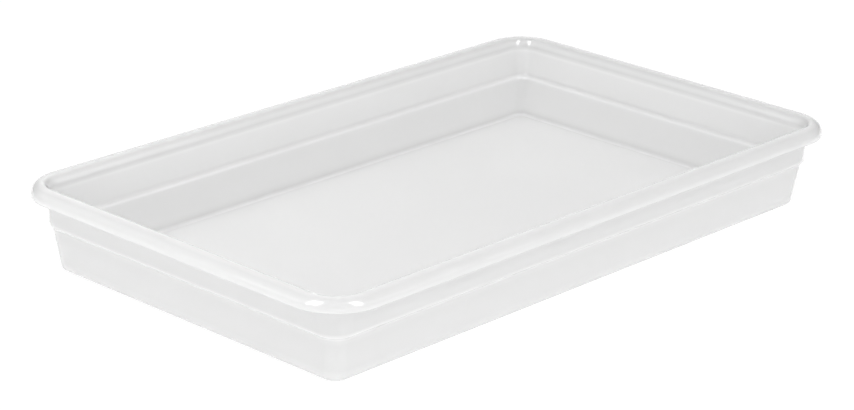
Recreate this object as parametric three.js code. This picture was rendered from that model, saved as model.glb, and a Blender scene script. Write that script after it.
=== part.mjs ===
// Gastronorm container, full size and shallow: an open rectangular food tray of clear, slightly
// milky plastic. The real tray is one moulding, so it is built here as the zones that the mould
// gives it, each a closed solid that meets its neighbours face to face: the floor, the sloping
// lower wall, the stacking shoulder, the upper wall, and the rim. The lower wall and the rim are
// straight runs joined by four corners, and each run of the rim has a neck, a crown and a lip.
// Millimetres, +Z up, X along the long side, origin on the floor's underside at the middle.

import * as THREE from 'three';

// Driving dimensions of the whole tray.
const LENGTH = 530;
const WIDTH = 325;
const HEIGHT = 65;
const WALL = 2.2;
const FLOOR = 2.4;
const FLOOR_BORDER = 1.8;

// Insets are measured inwards from the rim's outermost edge, heights from the table.
const RIM_CORNER = 39;
const CORNER_TAPER = 1.5;
const CREST_INSET = 9.5;
const LIP_BOTTOM = 56;
const LIP_STRAIGHT = 1.8;
const NECK_BOTTOM = 55.2;
const NECK_INSET = 14.3;
const CROWN_SPLIT = 60.5;

// Where the straight runs of the rim and of the lower wall start, measured along each side.
const RIM_RUN_START = 40;
const WALL_RUN_START = 34;

const SHOULDER_TOP = 35.2;
const SHOULDER_BOTTOM = 32.4;
const SHOULDER_INSET = 15.5;
const LEDGE_DROP_OUTSIDE = 1.4;
const LEDGE_DROP_INSIDE = 2;

const LOWER_INSET = 18.4;
const LOWER_CORNER = 11;
const FOOT_INSET = 22.6;
const FOOT_RADIUS = 4;

// Steps per quarter turn, round a corner of the plan and round a curve of the section.
const CORNER_STEPS = 10;
const CURVE_STEPS = 4;

// A station is one level outline of the tray: a rounded rectangle at a given inset and height.
function station(inset, z, radius) {
  return { inset, z, radius };
}

// Rim and upper wall share one rule: the plan corner tightens as the outline moves inwards.
function upperStation(inset, z) {
  return station(inset, z, RIM_CORNER - CORNER_TAPER * inset);
}

// Points of a rounded rectangle at a station, anticlockwise from the end of the +X side.
function outline({ inset, z, radius }) {
  const x = LENGTH / 2 - inset - radius;
  const y = WIDTH / 2 - inset - radius;
  const corners = [[x, y], [-x, y], [-x, -y], [x, -y]];
  const points = [];
  corners.forEach(([cx, cy], turn) => {
    const start = turn * Math.PI / 2;
    const arc = new THREE.ArcCurve(cx, cy, radius, start, start + Math.PI / 2, false);
    arc.getPoints(CORNER_STEPS).forEach((p) => points.push(new THREE.Vector3(p.x, p.y, z)));
  });
  return points;
}

// A flat cap over one end of a loft: ring holds the point numbers, flat the same points in 2D.
function cap(index, ring, flat, flip) {
  THREE.ShapeUtils.triangulateShape(flat, []).forEach(([a, b, c]) => {
    index.push(ring[a], ring[flip ? c : b], ring[flip ? b : c]);
  });
}

// Skin between neighbouring outlines. Stations run up the outside, over and down the inside.
// Where the stations don't close on the first, or the outlines are open, the ends get flat caps.
function loft(stations, trace, closesSection, closesOutline) {
  const loops = stations.map(trace);
  const count = loops[0].length;
  const last = loops.length - 1;
  const index = [];
  const bands = closesSection ? loops.length : last;
  const steps = closesOutline ? count : count - 1;
  for (let band = 0; band < bands; band += 1) {
    const low = band * count;
    const high = ((band + 1) % loops.length) * count;
    for (let i = 0; i < steps; i += 1) {
      const next = (i + 1) % count;
      index.push(low + i, low + next, high + next);
      index.push(low + i, high + next, high + i);
    }
  }
  if (!closesSection) {
    const flat = loops[0].map((p) => new THREE.Vector2(p.x, p.y));
    const ring = loops[0].map((p, i) => i);
    cap(index, ring, flat, true);
    cap(index, ring.map((i) => last * count + i), flat, false);
  }
  if (!closesOutline) {
    const flat = stations.map(({ inset, z }) => new THREE.Vector2(-inset, z));
    const ring = stations.map((_, i) => i * count);
    cap(index, ring, flat, false);
    cap(index, ring.map((i) => i + count - 1), flat, true);
  }
  const geometry = new THREE.BufferGeometry().setFromPoints(loops.flat());
  geometry.setIndex(index);
  geometry.computeVertexNormals();
  return geometry;
}

function ring(stations) {
  return loft(stations, outline, true, true);
}

function slab(stations) {
  return loft(stations, outline, false, true);
}

// Clear polypropylene: one material for each mesh, with the same finish.
function clearPlastic() {
  return new THREE.MeshStandardMaterial({
    color: 0xe9ebec,
    roughness: 0.22,
    metalness: 0,
    transparent: true,
    opacity: 0.45,
  });
}

const container = new THREE.Group();
container.name = 'gastronorm_container';

function add(name, geometry) {
  const mesh = new THREE.Mesh(geometry, clearPlastic());
  mesh.name = name;
  container.add(mesh);
  return mesh;
}

// Points on a quarter ellipse of the section, between two heights above its centre.
// side -1 bulges outwards, +1 inwards.
function curve(centreZ, halfWidth, halfHeight, side, fromZ, toZ) {
  const first = Math.asin((fromZ - centreZ) / halfHeight);
  const last = Math.asin((toZ - centreZ) / halfHeight);
  const stations = [];
  for (let step = 0; step <= CURVE_STEPS; step += 1) {
    const angle = first + (last - first) * step / CURVE_STEPS;
    const inset = CREST_INSET + side * halfWidth * Math.cos(angle);
    stations.push(upperStation(inset, centreZ + halfHeight * Math.sin(angle)));
  }
  return stations;
}

// Sloping walls: the inset of a straight line between two section points, at a height.
function insetAt(z, [insetA, zA], [insetB, zB]) {
  return insetA + (insetB - insetA) * (z - zA) / (zB - zA);
}

// Section points that neighbouring zones share.
const lipTop = LIP_BOTTOM + LIP_STRAIGHT;
const neckInner = NECK_INSET + WALL;
const shoulderInner = SHOULDER_INSET + WALL;
const lowerInner = LOWER_INSET + WALL;
const footInner = FOOT_INSET + WALL;
const footTop = FLOOR + FOOT_RADIUS;
const ledgeOuterZ = SHOULDER_BOTTOM + LEDGE_DROP_OUTSIDE;
const ledgeInnerZ = SHOULDER_TOP - LEDGE_DROP_INSIDE;
const upperOuter = [[NECK_INSET, NECK_BOTTOM], [SHOULDER_INSET, ledgeOuterZ]];
const lowerInnerLine = [[footInner, footTop], [lowerInner, ledgeInnerZ]];
const shoulderOuterTop = insetAt(SHOULDER_TOP, ...upperOuter);
const lowerInnerTop = insetAt(SHOULDER_BOTTOM, ...lowerInnerLine);

// A straight run of one side: its section drawn out along X, with the inset along +Y.
function run(section, length) {
  const shape = new THREE.Shape(section.map(({ inset, z }) => new THREE.Vector2(inset, z)));
  const geometry = new THREE.ExtrudeGeometry(shape, { depth: length, bevelEnabled: false });
  const inwards = new THREE.Vector3(0, 1, 0);
  const up = new THREE.Vector3(0, 0, 1);
  const along = new THREE.Vector3(1, 0, 0);
  geometry.applyMatrix4(new THREE.Matrix4().makeBasis(inwards, up, along));
  geometry.translate(-length / 2, 0, 0);
  return geometry;
}

const sides = [
  { side: 'front', turn: 0, x: 0, y: -WIDTH / 2, span: LENGTH },
  { side: 'right', turn: 1, x: LENGTH / 2, y: 0, span: WIDTH },
  { side: 'back', turn: 2, x: 0, y: WIDTH / 2, span: LENGTH },
  { side: 'left', turn: 3, x: -LENGTH / 2, y: 0, span: WIDTH },
];

// A corner: the section carried round from one run to the next, each starting at a given distance.
// Seen from the corner's point, one side lies along +X and the other along +Y.
function cornerTrace({ inset, z, radius }, start) {
  const centre = inset + radius;
  const arc = new THREE.ArcCurve(centre, centre, radius, Math.PI, 1.5 * Math.PI, false);
  const points = arc.getPoints(CORNER_STEPS).map((p) => new THREE.Vector3(p.x, p.y, z));
  points.unshift(new THREE.Vector3(inset, start, z));
  points.push(new THREE.Vector3(start, inset, z));
  return points;
}

const corners = [
  { corner: 'front_left', turn: 0, x: -LENGTH / 2, y: -WIDTH / 2 },
  { corner: 'front_right', turn: 1, x: LENGTH / 2, y: -WIDTH / 2 },
  { corner: 'back_right', turn: 2, x: LENGTH / 2, y: WIDTH / 2 },
  { corner: 'back_left', turn: 3, x: -LENGTH / 2, y: WIDTH / 2 },
];

function addRuns(name, section, start) {
  sides.forEach(({ side, turn, x, y, span }) => {
    const mesh = add(`${name}_${side}`, run(section, span - 2 * start));
    mesh.position.set(x, y, 0);
    mesh.rotation.z = turn * Math.PI / 2;
  });
}

function addCorners(name, section, start) {
  const trace = (level) => cornerTrace(level, start);
  corners.forEach(({ corner, turn, x, y }) => {
    const mesh = add(`${name}_${corner}`, loft(section, trace, true, false));
    mesh.position.set(x, y, 0);
    mesh.rotation.z = turn * Math.PI / 2;
  });
}

// Foot: the rounded edge that the tray stands on, between two heights.
function footCurve(fromZ, toZ) {
  const first = Math.acos((FOOT_RADIUS - fromZ) / FOOT_RADIUS);
  const last = Math.acos((FOOT_RADIUS - toZ) / FOOT_RADIUS);
  const stations = [];
  for (let step = 0; step <= CURVE_STEPS; step += 1) {
    const angle = first + (last - first) * step / CURVE_STEPS;
    const setback = FOOT_RADIUS * (1 - Math.sin(angle));
    const z = FOOT_RADIUS * (1 - Math.cos(angle));
    stations.push(station(FOOT_INSET + setback, z, LOWER_CORNER - setback));
  }
  return stations;
}

// Floor: a flat panel. Its border is a little lower than its middle and carries the lower wall, so
// that the whole of its top face is free inside the walls.
const floorEdge = footInner + FOOT_RADIUS;
const floorCorner = LOWER_CORNER - WALL - FOOT_RADIUS;

add('floor_panel', slab([
  ...footCurve(0, FLOOR_BORDER),
  station(floorEdge, FLOOR_BORDER, floorCorner),
  station(floorEdge, FLOOR, floorCorner),
]));

// Lower wall: leans out from the floor, with a rounded inside edge to wipe clean.
function insideFillet() {
  const stations = [];
  for (let step = 0; step <= CURVE_STEPS; step += 1) {
    const angle = step / CURVE_STEPS * Math.PI / 2;
    const setback = FOOT_RADIUS * (1 - Math.cos(angle));
    const z = footTop - FOOT_RADIUS * Math.sin(angle);
    stations.push(station(footInner + setback, z, LOWER_CORNER - WALL - setback));
  }
  return stations;
}

const lowerSection = [
  station(floorEdge, FLOOR_BORDER, floorCorner),
  ...footCurve(FLOOR_BORDER, FOOT_RADIUS),
  station(LOWER_INSET, SHOULDER_BOTTOM, LOWER_CORNER),
  station(lowerInnerTop, SHOULDER_BOTTOM, LOWER_CORNER - WALL),
  ...insideFillet(),
];
addRuns('lower_wall', lowerSection, WALL_RUN_START);
addCorners('lower_corner', lowerSection, WALL_RUN_START);

// Shoulder: the ledge that stops stacked trays from jamming and carries the upper wall.
add('stacking_shoulder', ring([
  station(LOWER_INSET, SHOULDER_BOTTOM, LOWER_CORNER),
  upperStation(SHOULDER_INSET, ledgeOuterZ),
  upperStation(shoulderOuterTop, SHOULDER_TOP),
  upperStation(shoulderInner, SHOULDER_TOP),
  station(lowerInner, ledgeInnerZ, LOWER_CORNER - WALL),
  station(lowerInnerTop, SHOULDER_BOTTOM, LOWER_CORNER - WALL),
]));

// Upper wall: nearly upright, from the shoulder to the rim's neck.
add('upper_wall', ring([
  upperStation(shoulderOuterTop, SHOULDER_TOP),
  upperStation(NECK_INSET, NECK_BOTTOM),
  upperStation(neckInner, NECK_BOTTOM),
  upperStation(shoulderInner, SHOULDER_TOP),
]));

// Rim: a rolled bead, hollow underneath. Its outer and inner faces are quarter ellipses that meet
// at the crest, and its underside follows them one wall thickness inside.
const outerHeight = HEIGHT - lipTop;
const innerHeight = HEIGHT - NECK_BOTTOM;
const innerReach = neckInner - CREST_INSET;
const outerFace = [lipTop, CREST_INSET, outerHeight, -1];
const innerFace = [NECK_BOTTOM, innerReach, innerHeight, 1];
const outerHollow = [lipTop, CREST_INSET - WALL, outerHeight - WALL, -1];
const innerHollow = [NECK_BOTTOM, innerReach - WALL, innerHeight - WALL, 1];
const hollowTop = HEIGHT - WALL;

const lipSection = [
  upperStation(0, LIP_BOTTOM),
  ...curve(...outerFace, lipTop, CROWN_SPLIT),
  ...curve(...outerHollow, CROWN_SPLIT, lipTop),
  upperStation(WALL, LIP_BOTTOM),
];
const crownSection = [
  ...curve(...outerFace, CROWN_SPLIT, HEIGHT),
  ...curve(...innerFace, HEIGHT, CROWN_SPLIT).slice(1),
  ...curve(...innerHollow, CROWN_SPLIT, hollowTop),
  ...curve(...outerHollow, hollowTop, CROWN_SPLIT).slice(1),
];
const neckSection = [
  ...curve(...innerHollow, NECK_BOTTOM, CROWN_SPLIT),
  ...curve(...innerFace, CROWN_SPLIT, NECK_BOTTOM),
];
const wholeSection = [
  upperStation(0, LIP_BOTTOM),
  ...curve(...outerFace, lipTop, CROWN_SPLIT),
  ...curve(...outerFace, CROWN_SPLIT, HEIGHT).slice(1),
  ...curve(...innerFace, HEIGHT, CROWN_SPLIT).slice(1),
  ...curve(...innerFace, CROWN_SPLIT, NECK_BOTTOM).slice(1),
  ...curve(...innerHollow, NECK_BOTTOM, CROWN_SPLIT),
  ...curve(...innerHollow, CROWN_SPLIT, hollowTop).slice(1),
  ...curve(...outerHollow, hollowTop, CROWN_SPLIT).slice(1),
  ...curve(...outerHollow, CROWN_SPLIT, lipTop).slice(1),
  upperStation(WALL, LIP_BOTTOM),
];

addRuns('rim_neck', neckSection, RIM_RUN_START);
addRuns('rim_crown', crownSection, RIM_RUN_START);
addRuns('rim_lip', lipSection, RIM_RUN_START);
addCorners('rim_corner', wholeSection, RIM_RUN_START);

export default container;
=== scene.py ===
# %% [markdown]
# # A clear food tray
# This lesson dresses a full-size gastronorm container: a shallow open tray of clear, slightly milky
# plastic, pressed out of one mould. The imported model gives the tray's zones as plain solids. Here
# they are replaced by one smooth wall of plastic, lit as in a product photograph.

# %% Load the frame
import math

import bmesh
import bpy
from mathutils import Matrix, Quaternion, Vector


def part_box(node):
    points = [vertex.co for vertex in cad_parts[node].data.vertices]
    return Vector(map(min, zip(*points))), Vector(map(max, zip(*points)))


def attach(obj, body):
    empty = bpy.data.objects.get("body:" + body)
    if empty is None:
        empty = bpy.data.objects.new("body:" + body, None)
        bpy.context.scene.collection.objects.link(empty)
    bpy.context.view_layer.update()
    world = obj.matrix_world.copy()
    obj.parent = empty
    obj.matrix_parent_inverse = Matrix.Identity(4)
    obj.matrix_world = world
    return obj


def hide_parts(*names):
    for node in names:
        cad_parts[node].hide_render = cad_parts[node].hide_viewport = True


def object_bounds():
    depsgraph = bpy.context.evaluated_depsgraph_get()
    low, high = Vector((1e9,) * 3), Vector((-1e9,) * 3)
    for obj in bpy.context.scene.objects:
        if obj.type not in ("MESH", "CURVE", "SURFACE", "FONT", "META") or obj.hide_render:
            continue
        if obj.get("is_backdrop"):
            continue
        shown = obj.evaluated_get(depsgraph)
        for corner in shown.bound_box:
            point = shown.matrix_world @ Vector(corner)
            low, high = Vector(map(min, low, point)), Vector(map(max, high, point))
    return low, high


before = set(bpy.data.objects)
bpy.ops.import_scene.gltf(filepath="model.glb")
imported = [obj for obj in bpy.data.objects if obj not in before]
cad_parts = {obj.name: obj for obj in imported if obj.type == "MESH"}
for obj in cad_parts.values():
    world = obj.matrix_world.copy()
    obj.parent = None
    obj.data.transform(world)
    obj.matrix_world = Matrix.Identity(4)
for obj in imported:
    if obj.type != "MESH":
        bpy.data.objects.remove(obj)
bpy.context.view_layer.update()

# %% [markdown]
# ## Camera
# The photograph looks down on one corner of the tray with a long lens. The camera is placed by its
# bearing, its height above the table and its distance from the middle of the tray, and then turned
# a little about its own line of sight, because the photograph isn't quite level. The Standard view
# shows colours as they are written.

# %% Place the camera
PICTURE_WIDTH = 854
SENSOR_WIDTH = 36.0
BEARING = math.radians(-46.41)
ELEVATION = math.radians(20.48)
ROLL = math.radians(0.97)
DISTANCE = 2.0683
FOCAL_PIXELS = 2858.4
AIM = Vector((0, 0, 0.032))
SLIDE_RIGHT = -0.00925
SLIDE_UP = -0.00869


def towards(bearing, elevation):
    """Direction from the tray at a bearing, counted from its front, and an elevation in radians."""
    flat = math.cos(elevation)
    return Vector((math.sin(bearing) * flat, -math.cos(bearing) * flat, math.sin(elevation)))


back = towards(BEARING, ELEVATION)
turn = back.to_track_quat("Z", "Y") @ Quaternion((0, 0, 1), ROLL)
lens = bpy.data.cameras.new("camera")
lens.sensor_fit = "HORIZONTAL"
lens.sensor_width = SENSOR_WIDTH
lens.lens = SENSOR_WIDTH * FOCAL_PIXELS / PICTURE_WIDTH
camera = bpy.data.objects.new("camera", lens)
camera.rotation_mode = "QUATERNION"
camera.rotation_quaternion = turn
camera.location = AIM + back * DISTANCE + turn @ Vector((SLIDE_RIGHT, SLIDE_UP, 0))
bpy.context.collection.objects.link(camera)
bpy.context.scene.camera = camera
bpy.context.scene.view_settings.view_transform = "Standard"
print("lens, mm:", round(lens.lens, 1))

# %% [markdown]
# ## Level outlines
# Cut the tray level at any height and the cut is a rounded rectangle. So the wall can be made as a
# stack of rounded rectangles that are then bridged, one to the next. Each outline starts as a plain
# rectangle whose four corners are bevelled round. A section swept round a path would be another
# way, but the plan corners of this tray tighten from the rim inwards, and a sweep can't do that.

# %% Outlines of the tray
MM = 0.001
CORNER_SEGMENTS = 16
low, high = (Vector(corner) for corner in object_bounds())
half_length = (high.x - low.x) / 2
half_width = (high.y - low.y) / 2


def outline(bm, inset, height, corner, painted_light):
    """Wire of one level cut: inset from the rim's edge, height, corner radius and painted light
    there.
    """
    older = set(bm.edges)
    made = bmesh.ops.create_grid(bm, x_segments=1, y_segments=1, size=1.0)["verts"]
    reach = Vector((half_length - inset * MM, half_width - inset * MM, 1.0))
    bmesh.ops.scale(bm, vec=reach, verts=made)
    bmesh.ops.translate(bm, vec=(0, 0, height * MM), verts=made)
    bmesh.ops.bevel(
        bm, geom=made, offset=corner * MM, segments=CORNER_SEGMENTS, profile=0.5,
        affect="VERTICES", material=-1,
    )
    edges = [edge for edge in bm.edges if edge not in older]
    sheets = {face for edge in edges for face in edge.link_faces}
    bmesh.ops.delete(bm, geom=list(sheets), context="FACES_ONLY")
    # The points of the cut get its painted light, a lighter or darker tint standing in for light and
    # shade.
    layer = bm.verts.layers.float["painted_light"]
    for edge in edges:
        for vert in edge.verts:
            vert[layer] = painted_light
    return edges


print("half length and width, mm:", round(half_length / MM, 1), round(half_width / MM, 1))

# %% [markdown]
# ## Section of the wall
# The section is drawn as a walk: up the outside from the foot, under the hollow rim, over its
# crest, and down the inside to the floor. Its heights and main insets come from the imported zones.
# The rim is a bead made of quarter ellipses, with an underside one wall thickness inside it.

# %% Measures of the section, millimetres
WALL = 2.2
RIM_CORNER = 39.0
CORNER_TAPER = 1.5
LOWER_CORNER = 11.0
CREST_INSET = 9.5
LIP_STRAIGHT = 1.8
SHOULDER_INSET = 15.5
LEDGE_DROP_OUTSIDE = 1.4
LEDGE_DROP_INSIDE = 2.0
FOOT_INSET = 22.6


def level(node, end):
    """Height of a zone's underside (end 0) or top (end 1), in millimetres."""
    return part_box(node)[end][2] / MM


def edge_inset(node):
    """How far a zone's widest level lies inside the rim's edge, in millimetres."""
    return (half_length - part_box(node)[1][0]) / MM


floor_top = level("floor_panel", 1)
shoulder_low = level("stacking_shoulder", 0)
shoulder_top = level("stacking_shoulder", 1)
neck_low = level("rim_neck_front", 0)
lip_low = level("rim_lip_front", 0)
crest = level("rim_crown_front", 1)
neck_inset = edge_inset("upper_wall")
lower_inset = edge_inset("lower_wall_right")
lip_top = lip_low + LIP_STRAIGHT
ledge_out = shoulder_low + LEDGE_DROP_OUTSIDE
ledge_in = shoulder_top - LEDGE_DROP_INSIDE
print("crest", round(crest, 1), "lip", round(lip_low, 1), "neck inset", round(neck_inset, 2))

# %% Level cuts of the rim
BEAD_STEPS = 9


def upper(inset, height, painted_light):
    """A level cut of the rim or upper wall, whose plan corner tightens inwards."""
    return inset, height, RIM_CORNER - CORNER_TAPER * inset, painted_light


def along(table, value):
    """Value of a table of pairs at one place, straight between its entries."""
    for (low_key, low_share), (high_key, high_share) in zip(table, table[1:]):
        if low_key <= value <= high_key:
            return low_share + (high_share - low_share) * (value - low_key) / (high_key - low_key)
    return table[-1][1]


def bead(centre, reach, rise, side, start, end, light_paint):
    """Level cuts along a quarter ellipse of the rim, between two angles from level."""
    cuts = []
    for step in range(BEAD_STEPS + 1):
        angle = math.radians(start + (end - start) * step / BEAD_STEPS)
        inset = CREST_INSET + side * reach * math.cos(angle)
        height = centre + rise * math.sin(angle)
        cuts.append(upper(inset, height, along(light_paint, height)))
    return cuts


inner_reach = neck_inset + WALL - CREST_INSET
print("inner half of the bead, mm:", round(inner_reach, 2))

# %% Level cuts of the walls
def sloped(low_point, high_point, height):
    """Inset of a straight sloping wall at one height."""
    (low_inset, low_height), (high_inset, high_height) = low_point, high_point
    return low_inset + (high_inset - low_inset) * (height - low_height) / (high_height - low_height)


def lower_out(height, painted_light):
    """A level cut of the lower wall's outer face."""
    inset = sloped((FOOT_INSET, 0), (lower_inset, shoulder_low), height)
    return inset, height, LOWER_CORNER, painted_light


def upper_out(height, painted_light):
    """A level cut of the upper wall's outer face."""
    inset = sloped((SHOULDER_INSET, ledge_out), (neck_inset, neck_low), height)
    return upper(inset, height, painted_light)


def upper_in(height, painted_light):
    """A level cut of the upper wall's inner face."""
    inset = sloped((SHOULDER_INSET, shoulder_top), (neck_inset, neck_low), height) + WALL
    return upper(inset, height, painted_light)


def lower_in(height, painted_light):
    """A level cut of the lower wall's inner face."""
    inset = sloped((FOOT_INSET, floor_top), (lower_inset, ledge_in), height) + WALL
    return inset, height, LOWER_CORNER - WALL, painted_light


print("lower wall leans out by", round(FOOT_INSET - lower_inset, 2), "mm")

# %% [markdown]
# ## Painted light along the section
# Each cut also carries painted light and shade, from 0 for the darkest grey to 1 for the full tint.
# The bright lines of the rounded turns and the grey of thick or steep places are painted so into the
# colour. Writing this on the points of the skin keeps it in step with the section, whatever its size.

# %% Walk round the section
# Each pair is a height in millimetres and the painted light there. The walls follow the walk.
LOWER_OUTSIDE = ((0.0, 0.95), (8.0, 0.60), (27.5, 0.49), (30.5, 0.57), (shoulder_low, 0.94))
UPPER_OUTSIDE = ((ledge_out, 1.0), (36.5, 0.53), (53.0, 0.66))
UPPER_INSIDE = ((53.0, 0.57), (37.5, 0.51), (shoulder_top, 0.32))
LOWER_INSIDE = (
    (ledge_in, 0.57), (31.2, 0.45), (29.2, 0.43), (10.0, 0.51), (7.5, 0.47), (5.0, 0.30),
    (floor_top, 0.85),
)
# The two halves of the rim and its hollow are given from their lowest point up to the crest.
# Their painted light draws the bright lines and grey bands of the bead as highlights and shade.
OUTER_BEAD = (
    (57.0, 0.68), (58.2, 0.62), (60.0, 0.44), (62.5, 0.36), (64.3, 0.25), (65.0, 0.52),
)
INNER_BEAD = (
    (55.0, 0.72), (56.5, 0.50), (58.3, 0.19), (60.0, 0.33), (61.3, 0.40), (62.5, 0.28),
    (63.9, 0.13), (64.6, 0.34), (65.0, 0.52),
)
# The hollow underside and the lip keep an even painted light.
HOLLOW = ((50.0, 0.7), (65.0, 0.7))
LIP_PAINTED_LIGHT = 0.66
outer_rise = crest - lip_top
inner_rise = crest - neck_low

outside = [lower_out(*cut) for cut in LOWER_OUTSIDE] + [upper_out(*cut) for cut in UPPER_OUTSIDE]
hollow = (
    bead(neck_low, inner_reach - WALL, inner_rise - WALL, 1, 0, 90, HOLLOW)
    + bead(lip_top, CREST_INSET - WALL, outer_rise - WALL, -1, 90, 0, HOLLOW)[1:]
    + [upper(WALL, lip_low, LIP_PAINTED_LIGHT)]
)
top = (
    [upper(0.0, lip_low, LIP_PAINTED_LIGHT)]
    + bead(lip_top, CREST_INSET, outer_rise, -1, 0, 90, OUTER_BEAD)
    + bead(neck_low, inner_reach, inner_rise, 1, 90, 0, INNER_BEAD)[1:]
)
inside = [upper_in(*cut) for cut in UPPER_INSIDE] + [lower_in(*cut) for cut in LOWER_INSIDE]
section = outside + hollow + top + inside
print("level cuts:", len(section))

# %% [markdown]
# ## The moulding
# Bridging neighbouring outlines gives the skin, and two flat faces close the underside and the
# floor. A moulding has no knife edges, so the turns of the section are bevelled afterwards: wide at
# the foot, less in the fillet round the floor, and tight along the lip and the shoulder. A narrow
# border is then inset in the floor, so that the floor's painted light can stay full up to its fillet.
# The border has to be narrower than the floor's corner radius, or the inset crosses over itself.

# %% Bridge the outlines
bm = bmesh.new()
# A layer of painted light and shade on the points of the skin.
bm.verts.layers.float.new("painted_light")
loops = [outline(bm, *cut) for cut in section]
for here, following in zip(loops, loops[1:]):
    bmesh.ops.bridge_loops(bm, edges=here + following)
for end in (loops[0], loops[-1]):
    bmesh.ops.contextual_create(bm, geom=end)
bmesh.ops.recalc_face_normals(bm, faces=bm.faces)
print("skin before rounding:", len(bm.faces), "faces")

# %% Round the turns
FOOT_ROUND = 4.0
FILLET_ROUND = 2.2
SHOULDER_ROUND = 1.3
LEDGE_ROUND = 1.4
LIP_ROUND = 0.7
ROUND_SEGMENTS = 4


def round_off(bm, loops, radius, segments=ROUND_SEGMENTS):
    """Round the turn of the section along some of the outlines."""
    edges = [edge for loop in loops for edge in loop]
    bmesh.ops.bevel(
        bm, geom=edges, offset=radius * MM, segments=segments, profile=0.5,
        affect="EDGES", material=-1,
    )


def pair_at(start):
    """The outlines on both sides of a step in the walk, by the place of the second one."""
    return loops[start - 1:start + 1]


round_off(bm, pair_at(len(outside) + len(hollow)), LIP_ROUND)
round_off(bm, pair_at(len(LOWER_OUTSIDE)), SHOULDER_ROUND)
round_off(bm, pair_at(len(section) - len(LOWER_INSIDE)), LEDGE_ROUND)
round_off(bm, loops[:1], FOOT_ROUND, ROUND_SEGMENTS * 2)
round_off(bm, loops[-1:], FILLET_ROUND)
print("skin after rounding:", len(bm.faces), "faces")

# %% Inset the floor and finish the moulding
FLOOR_BORDER = 3.0
FLOOR_PAINTED_LIGHT = 1.0
FACING_UP = 0.99
SHADING_WEIGHT = 100
raised = [face for face in bm.faces if face.normal.z > FACING_UP]
floor = max(raised, key=lambda face: face.calc_area())
bmesh.ops.inset_region(bm, faces=[floor], thickness=FLOOR_BORDER * MM)
# The inset floor gets the full painted light, lighter than its fillet.
for vert in floor.verts:
    vert[bm.verts.layers.float["painted_light"]] = FLOOR_PAINTED_LIGHT
for face in bm.faces:
    face.smooth = True
mesh = bpy.data.meshes.new("container_moulding")
bm.to_mesh(mesh)
bm.free()
moulding = bpy.data.objects.new("container_moulding", mesh)
bpy.context.collection.objects.link(moulding)
shade = moulding.modifiers.new("even_shading", "WEIGHTED_NORMAL")
shade.weight = SHADING_WEIGHT
print("moulding:", len(mesh.vertices), "points", len(mesh.polygons), "faces")

# %% [markdown]
# ## Clear milky plastic
# Milky plastic lets light in, scatters it and lets it out again a few millimetres on, so a thin wall
# looks pale grey and its turns look bright. Subsurface scattering does much of that, and the rest is
# painted light and shade in the base colour. A small clear share lets the white table show through.
# A larger one drew dark lines along the edges. A clear coat keeps the moulded gloss sharp. A faint
# cloud in the colour and a ripple in the surface keep the large faces from looking computed.

# %% Node group: painted light and cloud of the moulded plastic
# Tints for the painted light and shade, from the darkest painted shade to the full tint.
LIGHTEST_PAINTED_TINT = 1.0
DARKEST_PAINTED_TINT = 0.6
CLOUD_SCALE = 11.0
CLOUD_DETAIL = 3.0
CLOUD_DARKEST = 0.985
RIPPLE_SCALE = 37.0
RIPPLE_DETAIL = 2.0


def painted_light_and_cloud():
    """Tint by the painted light and shade of the place, with a slow cloud, and a ripple of the
    surface.
    """
    group = bpy.data.node_groups.new("painted_light_and_cloud", "ShaderNodeTree")
    sockets = group.interface
    sockets.new_socket("Tint", in_out="OUTPUT", socket_type="NodeSocketColor")
    sockets.new_socket("Height", in_out="OUTPUT", socket_type="NodeSocketFloat")
    nodes, links = group.nodes, group.links
    outputs = nodes.new("NodeGroupOutput")
    place = nodes.new("ShaderNodeTexCoord")
    # The painted light written on the points is turned into a lighter or darker grey.
    light_paint = nodes.new("ShaderNodeAttribute")
    light_paint.attribute_name = "painted_light"
    painted_tint = nodes.new("ShaderNodeMapRange")
    painted_tint.inputs["To Min"].default_value = DARKEST_PAINTED_TINT
    painted_tint.inputs["To Max"].default_value = LIGHTEST_PAINTED_TINT
    cloud = nodes.new("ShaderNodeTexNoise")
    cloud.inputs["Scale"].default_value = CLOUD_SCALE
    cloud.inputs["Detail"].default_value = CLOUD_DETAIL
    ripple = nodes.new("ShaderNodeTexNoise")
    ripple.inputs["Scale"].default_value = RIPPLE_SCALE
    ripple.inputs["Detail"].default_value = RIPPLE_DETAIL
    mottle = nodes.new("ShaderNodeMapRange")
    mottle.inputs["To Min"].default_value = CLOUD_DARKEST
    mottle.inputs["To Max"].default_value = 1.0
    tint = nodes.new("ShaderNodeMix")
    tint.data_type = "RGBA"
    tint.blend_type = "MULTIPLY"
    tint.inputs["Factor"].default_value = 1.0
    for noise in (cloud, ripple):
        links.new(place.outputs["Object"], noise.inputs["Vector"])
    links.new(light_paint.outputs["Fac"], painted_tint.inputs["Value"])
    links.new(cloud.outputs["Fac"], mottle.inputs["Value"])
    links.new(painted_tint.outputs["Result"], tint.inputs["A"])
    links.new(mottle.outputs["Result"], tint.inputs["B"])
    links.new(tint.outputs["Result"], outputs.inputs["Tint"])
    links.new(ripple.outputs["Fac"], outputs.inputs["Height"])
    return group


# The tint runs from the darkest painted shade to the full tint of painted light.
print("tint from", DARKEST_PAINTED_TINT, "where cloudy to", LIGHTEST_PAINTED_TINT, "where clear")

# %% Material of the moulding
RIPPLE_STRENGTH = 0.05
RIPPLE_HEIGHT = 0.5 * MM
CLEAR_SHARE = 0.15
SCATTER_REACH = 5 * MM
PLASTIC = {
    "Roughness": 0.25,
    "IOR": 1.15,
    "Transmission Weight": CLEAR_SHARE,
    "Subsurface Weight": 1.0,
    "Subsurface Radius": (1, 1, 1),
    "Subsurface Scale": SCATTER_REACH,
    "Coat Weight": 1.0,
    "Coat Roughness": 0.03,
    "Coat IOR": 1.75,
}


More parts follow.
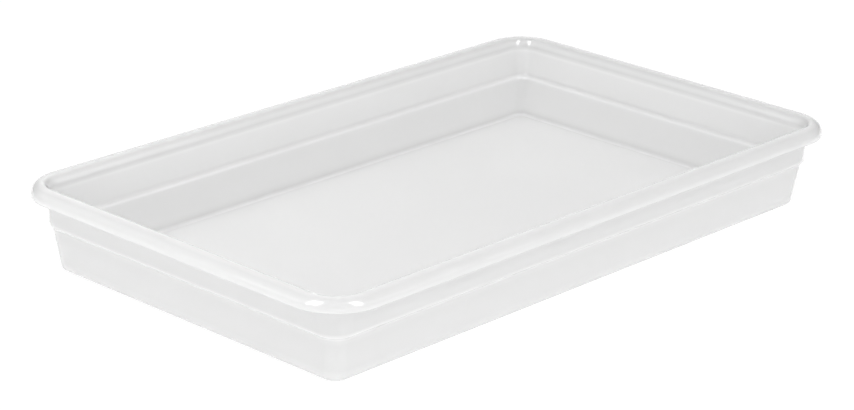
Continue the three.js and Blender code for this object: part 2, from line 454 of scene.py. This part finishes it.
def clear_plastic():
    """Clear milky plastic with a moulded gloss and painted light and shade in its colour."""
    material = bpy.data.materials.new("clear_plastic")
    material.use_nodes = True
    nodes, links = material.node_tree.nodes, material.node_tree.links
    plastic = nodes["Principled BSDF"]
    for name, value in PLASTIC.items():
        plastic.inputs[name].default_value = value
    shades = nodes.new("ShaderNodeGroup")
    shades.node_tree = painted_light_and_cloud()
    bump = nodes.new("ShaderNodeBump")
    bump.inputs["Strength"].default_value = RIPPLE_STRENGTH
    bump.inputs["Distance"].default_value = RIPPLE_HEIGHT
    # The base colour carries the painted light and shade of the section.
    links.new(shades.outputs["Tint"], plastic.inputs["Base Color"])
    links.new(shades.outputs["Height"], bump.inputs["Height"])
    links.new(bump.outputs["Normal"], plastic.inputs["Normal"])
    return material


mesh.materials.append(clear_plastic())
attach(moulding, "root")
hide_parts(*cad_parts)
print("moulding replaces", len(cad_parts), "zones")

# %% [markdown]
# ## Table
# The tray stands on a white table. The table is a real diffuse surface, so it keeps the tray's
# shadow, and a glow of its own, seen only by the camera and in or through the plastic, lifts it to
# white. Stronger lamps would make it white too, but they would wash out the plastic.

# %% White table
TABLE_SIZE = 12.0
TABLE_SEGMENTS = 64
TABLE_PAINT = 0.95
TABLE_GLOW = 0.85
TABLE_WHITE = 1.06
TABLE_GAP = 0.0002


def seen(nodes, links, *rays):
    """1 for the named kinds of ray, by which the camera comes to see the table or the room."""
    path = nodes.new("ShaderNodeLightPath")
    total = path.outputs[rays[0]]
    for name in rays[1:]:
        larger = nodes.new("ShaderNodeMath")
        larger.operation = "MAXIMUM"
        links.new(total, larger.inputs[0])
        links.new(path.outputs[name], larger.inputs[1])
        total = larger.outputs["Value"]
    return total


def white_table():
    """White diffuse table with a glow that only shows to the camera and in or through the plastic."""
    material = bpy.data.materials.new("white_table")
    material.use_nodes = True
    nodes, links = material.node_tree.nodes, material.node_tree.links
    nodes.remove(nodes["Principled BSDF"])
    paint = nodes.new("ShaderNodeBsdfDiffuse")
    paint.inputs["Color"].default_value = (TABLE_PAINT, TABLE_PAINT, TABLE_PAINT, 1)
    white = nodes.new("ShaderNodeEmission")
    white.inputs["Strength"].default_value = TABLE_WHITE
    share = nodes.new("ShaderNodeMath")
    share.operation = "MULTIPLY"
    share.inputs[1].default_value = TABLE_GLOW
    rays = seen(nodes, links, "Is Camera Ray", "Is Glossy Ray", "Is Transmission Ray")
    links.new(rays, share.inputs[0])
    both = nodes.new("ShaderNodeMixShader")
    links.new(share.outputs["Value"], both.inputs["Fac"])
    links.new(paint.outputs["BSDF"], both.inputs[1])
    links.new(white.outputs["Emission"], both.inputs[2])
    links.new(both.outputs["Shader"], nodes["Material Output"].inputs["Surface"])
    return material


bm = bmesh.new()
bmesh.ops.create_circle(bm, cap_ends=True, segments=TABLE_SEGMENTS, radius=TABLE_SIZE / 2)
table_mesh = bpy.data.meshes.new("table")
bm.to_mesh(table_mesh)
bm.free()
table_mesh.materials.append(white_table())
table = bpy.data.objects.new("table", table_mesh)
table.location.z = -TABLE_GAP
bpy.context.collection.objects.link(table)
table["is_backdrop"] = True
print("table:", TABLE_SIZE, "m across")

# %% [markdown]
# ## Room
# The room is white to the camera. Its ceiling gives less light than its walls, which makes the faces
# that look up a little darker. Two grey screens stand in it, left and right behind the tray. They
# darken the ends of the rim, as dark flags do in a studio when clear plastic has to show on white.
# The gloss sees white walls up to a low line and a grey ceiling above, so that the floor, which
# mirrors the ceiling, isn't washed out. All this is done by direction in the world's own nodes,
# because real screens would show in pictures from other sides.

# %% White room
WALL_LIGHT = 1.01
CEILING_LIGHT = 0.655
CEILING_FROM = 0.6
GLOSS_WALL = 1.0
GLOSS_WALL_TOP = 0.27
GLOSS_CEILING = 0.72
GLOSS_CEILING_FROM = 0.33
SCREEN_ASIDE = math.radians(132)
SCREEN_CORE = math.radians(20)
SCREEN_EDGE = math.radians(45)
SCREEN_SHADE = 0.3
BACKGROUND_WHITE = 1.0
world = bpy.data.worlds.new("white_room")
bpy.context.scene.world = world
world.use_nodes = True
room_nodes, room_links = world.node_tree.nodes, world.node_tree.links


def ramp(value, start, end, before, after):
    """Level that goes from one value to another while its input crosses a range."""
    node = room_nodes.new("ShaderNodeMapRange")
    node.inputs["From Min"].default_value = start
    node.inputs["From Max"].default_value = end
    node.inputs["To Min"].default_value = before
    node.inputs["To Max"].default_value = after
    room_links.new(value, node.inputs["Value"])
    return node.outputs["Result"]


def joined(operation, first, second):
    """Two values of the room's nodes, joined by one operation of the Math node."""
    node = room_nodes.new("ShaderNodeMath")
    node.operation = operation
    room_links.new(first, node.inputs[0])
    room_links.new(second, node.inputs[1])
    return node.outputs["Value"]


def facing(look, bearing):
    """How nearly a direction of the room points along a level bearing, 1 for exactly."""
    node = room_nodes.new("ShaderNodeVectorMath")
    node.operation = "DOT_PRODUCT"
    node.inputs[1].default_value = towards(bearing, 0)
    room_links.new(look, node.inputs[0])
    return node.outputs["Value"]


look = room_nodes.new("ShaderNodeTexCoord").outputs["Generated"]
split = room_nodes.new("ShaderNodeSeparateXYZ")
room_links.new(look, split.inputs["Vector"])
up = split.outputs["Z"]
lit = room_nodes.new("ShaderNodeMix")
room_links.new(seen(room_nodes, room_links, "Is Glossy Ray"), lit.inputs["Factor"])
room_links.new(ramp(up, 0, CEILING_FROM, WALL_LIGHT, CEILING_LIGHT), lit.inputs["A"])
mirrored = ramp(up, GLOSS_WALL_TOP, GLOSS_CEILING_FROM, GLOSS_WALL, GLOSS_CEILING)
room_links.new(mirrored, lit.inputs["B"])
left, right = facing(look, BEARING - SCREEN_ASIDE), facing(look, BEARING + SCREEN_ASIDE)
nearest = joined("MAXIMUM", left, right)
screens = ramp(nearest, math.cos(SCREEN_EDGE), math.cos(SCREEN_CORE), 1, SCREEN_SHADE)
shown = room_nodes.new("ShaderNodeMix")
rays = seen(room_nodes, room_links, "Is Camera Ray", "Is Transmission Ray")
room_links.new(rays, shown.inputs["Factor"])
room_links.new(joined("MULTIPLY", lit.outputs["Result"], screens), shown.inputs["A"])
shown.inputs["B"].default_value = BACKGROUND_WHITE
room = room_nodes["Background"]
room.inputs["Color"].default_value = (1, 1, 1, 1)
room_links.new(shown.outputs["Result"], room.inputs["Strength"])
print("room: walls", WALL_LIGHT, "ceiling", CEILING_LIGHT, "screens", SCREEN_SHADE)

# %% [markdown]
# ## Lamps
# Three soft lamps light the tray. The left one stands close, so that the light falls off across the
# floor as in the photograph, the right one stands farther away, and a weak one fills the front.
# They don't show in the gloss. Four bright cards show in nothing else: they give the highlights at
# the corners and along the rim, so these can be placed without changing the light on the plastic.
# A single set of lamps for both would be simpler, but lamps that are bright enough for the
# highlights would wash out the pale walls.

# %% Soft lamps
def soft_lamp(name, aside, elevation, distance, width, height, power):
    """A soft lamp that faces the tray, so many degrees aside of the camera and above the table."""
    data = bpy.data.lights.new(name, "AREA")
    data.shape = "RECTANGLE"
    data.size = width
    data.size_y = height
    data.energy = power
    lamp = bpy.data.objects.new(name, data)
    away = towards(BEARING + math.radians(aside), math.radians(elevation))
    lamp.location = away * distance
    lamp.rotation_mode = "QUATERNION"
    lamp.rotation_quaternion = away.to_track_quat("Z", "Y")
    bpy.context.collection.objects.link(lamp)
    print(name, "at", [round(part, 2) for part in lamp.location], "m,", power, "W")
    return lamp


# Name, degrees aside, degrees up, metres away, width and height in metres, watts.
LAMPS = (
    ("lamp_left", -60, 54, 1.1, 0.7, 0.56, 3.75),
    ("lamp_right", 48, 50, 2.4, 1.5, 1.2, 14.3),
    ("lamp_front", 0, 12, 1.6, 1.2, 0.6, 2.0),
)
for place in LAMPS:
    soft_lamp(*place).visible_glossy = False

# %% Bright cards for the gloss
CARDS = (
    ("card_left", -43, 42, 1.6, 0.5, 1.1, 9.5),
    ("card_right", 40, 42, 1.6, 0.42, 1.1, 8.0),
    ("card_far_left", -76, 28.5, 1.6, 0.5, 0.5, 0.8),
    ("card_far_right", 81, 26.5, 1.6, 0.5, 0.5, 0.6),
)
for place in CARDS:
    card = soft_lamp(*place)
    card.visible_diffuse = False
    card.visible_transmission = False
